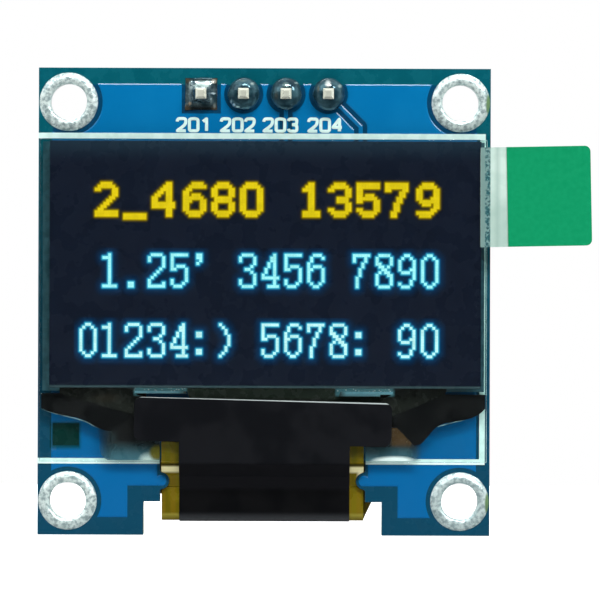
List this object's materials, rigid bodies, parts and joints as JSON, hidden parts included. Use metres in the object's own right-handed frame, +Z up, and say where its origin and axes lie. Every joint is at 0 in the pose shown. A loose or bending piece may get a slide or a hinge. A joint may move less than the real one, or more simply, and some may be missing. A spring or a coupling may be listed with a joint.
{
  "type": "oled display module",
  "caption": "Small square OLED display module: glass panel on a blue circuit board with corner mounting holes, folded ribbon, pin header on the back and a green pull tab.",
  "frame": {"origin": "Middle of the four mounting holes, on the front face of the circuit board.", "axes": "+Z up along the display's height, +X to the right seen from the front, +Y from the front face through the board to the pin header on the back."},
  "size_m": [0.0332, 0.0117, 0.028],
  "materials": {
    "board_lacquer": "dark blue lacquer on glass-fibre board, satin edges",
    "lacquered_copper": "glossy blue lacquer over copper",
    "white_print": "white screen print",
    "solder": "bright lumpy solder",
    "gold_pin": "thin gold plating on square pins",
    "header_plastic": "black moulded strip",
    "adhesive_film": "white double-sided film",
    "panel_glass": "polished thin glass, ground edges",
    "desiccant": "pale drying sheet",
    "seal_resin": "cured clear resin line",
    "emissive_film": "thin dark layers with lit pixels",
    "electrode_film": "fine conductor lines on glass",
    "driver_silicon": "ground silicon",
    "polarizer_film": "near-black satin film",
    "clear_plastic_film": "clear protective film",
    "green_film": "green pull tab film, slightly mottled",
    "dark_sealant": "dark brown sealant",
    "clear_sealant": "clear grey resin bead",
    "polyimide": "yellow-brown ribbon film",
    "black_tape": "black tape with a soft sheen",
    "capacitor_ceramic": "tan ceramic with tinned ends",
    "resistor_ceramic": "black coat on white ceramic with tinned ends",
    "moulded_body": "black moulded package",
    "lead_metal": "tinned bent leads"
  },
  "bodies": {
    "root": {"circuit_board": "board_lacquer", "hole_rim_top_left": "solder", "hole_rim_top_right": "solder", "hole_rim_bottom_left": "solder", "hole_rim_bottom_right": "solder", "header_pads": "solder", "front_copper": "lacquered_copper", "back_copper": "lacquered_copper", "frame_print": "white_print", "back_print": "white_print", "header_pin_1": "gold_pin", "header_pin_2": "gold_pin", "header_pin_3": "gold_pin", "header_pin_4": "gold_pin", "header_housing": "header_plastic", "header_solder_1": "solder", "header_solder_2": "solder", "header_solder_3": "solder", "header_solder_4": "solder", "panel_adhesive": "adhesive_film", "cap_glass": "panel_glass", "desiccant_sheet": "desiccant", "front_glass": "panel_glass", "emissive_layer": "emissive_film", "electrode_lines": "electrode_film", "edge_seal": "seal_resin", "driver_chip": "driver_silicon", "polarizer": "polarizer_film", "clear_film": "clear_plastic_film", "tab_strip": "clear_plastic_film", "tab_grip": "green_film", "dark_sealant": "dark_sealant", "clear_sealant": "clear_sealant", "ribbon": "polyimide", "ribbon_tape": "black_tape", "tail_solder": "solder", "capacitor_1": "capacitor_ceramic", "capacitor_2": "capacitor_ceramic", "capacitor_3": "capacitor_ceramic", "capacitor_4": "capacitor_ceramic", "capacitor_5": "capacitor_ceramic", "capacitor_6": "capacitor_ceramic", "capacitor_7": "capacitor_ceramic", "resistor_1": "resistor_ceramic", "resistor_2": "resistor_ceramic", "resistor_3": "resistor_ceramic", "resistor_4": "resistor_ceramic", "resistor_5": "resistor_ceramic", "resistor_6": "resistor_ceramic", "resistor_7": "resistor_ceramic", "regulator_body": "moulded_body", "regulator_leads": "lead_metal", "diode_body": "moulded_body", "diode_leads": "lead_metal", "component_solder": "solder"}
  },
  "joints": []
}
